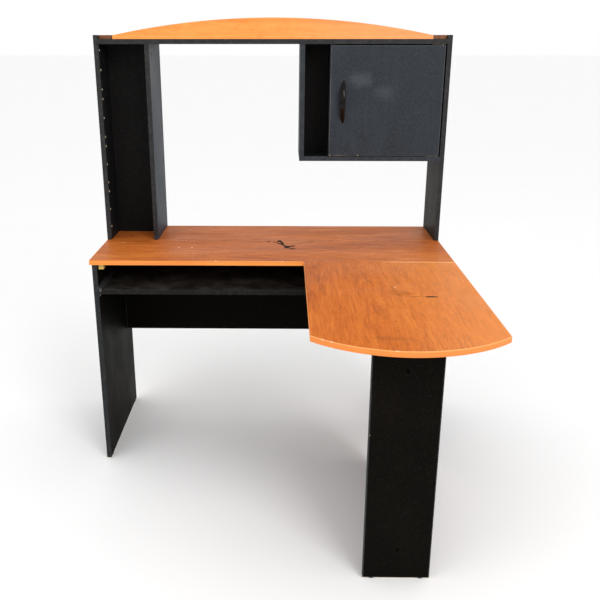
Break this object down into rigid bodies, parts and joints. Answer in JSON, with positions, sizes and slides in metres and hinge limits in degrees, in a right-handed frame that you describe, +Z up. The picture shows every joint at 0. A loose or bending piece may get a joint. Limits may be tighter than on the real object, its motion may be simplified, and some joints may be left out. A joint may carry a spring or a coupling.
{
  "type": "computer desk",
  "caption": "L-shaped computer desk with a hutch, arched crown, small door, disc tower, bowed return leaf and a keyboard tray on roller slides.",
  "frame": {"origin": "on the floor, at the centre of the desk's overall width and depth", "axes": "+X to the right seen from the sitter, +Y to the back of the desk, +Z up; the sitter is on the -Y side"},
  "size_m": [1.2, 1.258, 1.4974],
  "materials": {
    "cherry_laminate": "printed cherry grain melamine, satin",
    "cherry_board": "light cherry laminate, satin",
    "cherry_band": "orange cherry edge band, satin",
    "brown_board": "dark brown laminate, satin",
    "black_melamine": "black melamine, fine pebble texture",
    "black_band": "black edge band, satin",
    "slide_steel": "dark coated sheet steel",
    "bright_steel": "zinc plated",
    "white_nylon": "moulded nylon",
    "ivory_plastic": "moulded plastic, ivory",
    "beech_dowel": "raw beech",
    "dark_handle": "glossy black-bronze lacquer",
    "ferrite": "sintered magnet",
    "black_plastic": "moulded plastic"
  },
  "bodies": {
    "desk": {"base_edge_bands": "black_band", "cabinet_back_panel": "black_melamine", "cabinet_bottom_panel": "black_melamine", "cabinet_divider": "black_melamine", "cabinet_left_panel": "black_melamine", "cam_bolts": "bright_steel", "cam_locks": "bright_steel", "catch_body": "black_plastic", "catch_magnet": "ferrite", "catch_screws": "bright_steel", "confirmat_screws": "bright_steel", "corner_blocks": "ivory_plastic", "crown_board": "cherry_board", "crown_cleat": "brown_board", "desktop_main": "cherry_laminate", "desktop_return": "cherry_laminate", "foot_glides": "black_plastic", "hinge_leaves_fixed": "bright_steel", "hinge_pins": "bright_steel", "hinge_screws_fixed": "bright_steel", "hutch_edge_bands": "black_band", "hutch_side_left": "black_melamine", "hutch_side_right": "black_melamine", "hutch_top_panel": "black_melamine", "left_leg_panel": "black_melamine", "long_panel_screws": "bright_steel", "main_edge_bands": "cherry_band", "mending_plate_screws": "bright_steel", "mending_plates": "bright_steel", "modesty_panel": "black_melamine", "rail_left": "slide_steel", "rail_right": "slide_steel", "rail_rivets": "bright_steel", "rail_screws": "bright_steel", "return_edge_bands": "cherry_band", "return_leg_fin": "black_melamine", "return_leg_panel": "black_melamine", "right_leg_panel": "black_melamine", "short_panel_screws": "bright_steel", "tower_back_panel": "black_melamine", "tower_partition": "black_melamine", "tray_hanger_panel": "black_melamine", "wood_dowels": "beech_dowel"},
    "tray": {"keyboard_tray": "black_melamine", "tray_edge_band": "black_band", "runner_left": "slide_steel", "runner_right": "slide_steel", "runner_rivets": "bright_steel", "runner_screws": "bright_steel"},
    "door": {"cabinet_door": "black_melamine", "door_edge_bands": "black_band", "door_handle": "dark_handle", "handle_screws": "bright_steel", "hinge_leaves_door": "bright_steel", "door_plate_screws": "bright_steel", "catch_strike": "bright_steel"},
    "rail_wheel_left": {"rail_roller_left": "white_nylon"},
    "rail_wheel_right": {"rail_roller_right": "white_nylon"},
    "runner_wheel_left": {"runner_roller_left": "white_nylon"},
    "runner_wheel_right": {"runner_roller_right": "white_nylon"}
  },
  "joints": [
    {"name": "tray_slide", "type": "slide", "parent": "desk", "child": "tray", "axis": [0, -1, 0], "range_m": [0, 0.255]},
    {"name": "door_hinge", "type": "hinge", "parent": "desk", "child": "door", "pos_m": [0.5715, 0.413, 1.2], "axis": [0, 0, 1], "range_deg": [0, 105]},
    {"name": "rail_wheel_left_spin", "type": "hinge", "parent": "desk", "child": "rail_wheel_left", "pos_m": [-0.5708, 0.141, 0.636], "axis": [1, 0, 0], "range_deg": [-5, 1629]},
    {"name": "rail_wheel_right_spin", "type": "hinge", "parent": "desk", "child": "rail_wheel_right", "pos_m": [0.1288, 0.141, 0.636], "axis": [1, 0, 0], "range_deg": [-5, 1629]},
    {"name": "runner_wheel_left_spin", "type": "hinge", "parent": "tray", "child": "runner_wheel_left", "pos_m": [-0.5688, 0.428, 0.6325], "axis": [1, 0, 0], "range_deg": [-5, 1629]},
    {"name": "runner_wheel_right_spin", "type": "hinge", "parent": "tray", "child": "runner_wheel_right", "pos_m": [0.1268, 0.428, 0.6325], "axis": [1, 0, 0], "range_deg": [-5, 1629]}
  ],
  "couplings": [
    {"joint": "rail_wheel_left_spin", "follows": "tray_slide", "rad_per_m": 111.11},
    {"joint": "rail_wheel_right_spin", "follows": "tray_slide", "rad_per_m": 111.11},
    {"joint": "runner_wheel_left_spin", "follows": "tray_slide", "rad_per_m": 111.11},
    {"joint": "runner_wheel_right_spin", "follows": "tray_slide", "rad_per_m": 111.11}
  ]
}
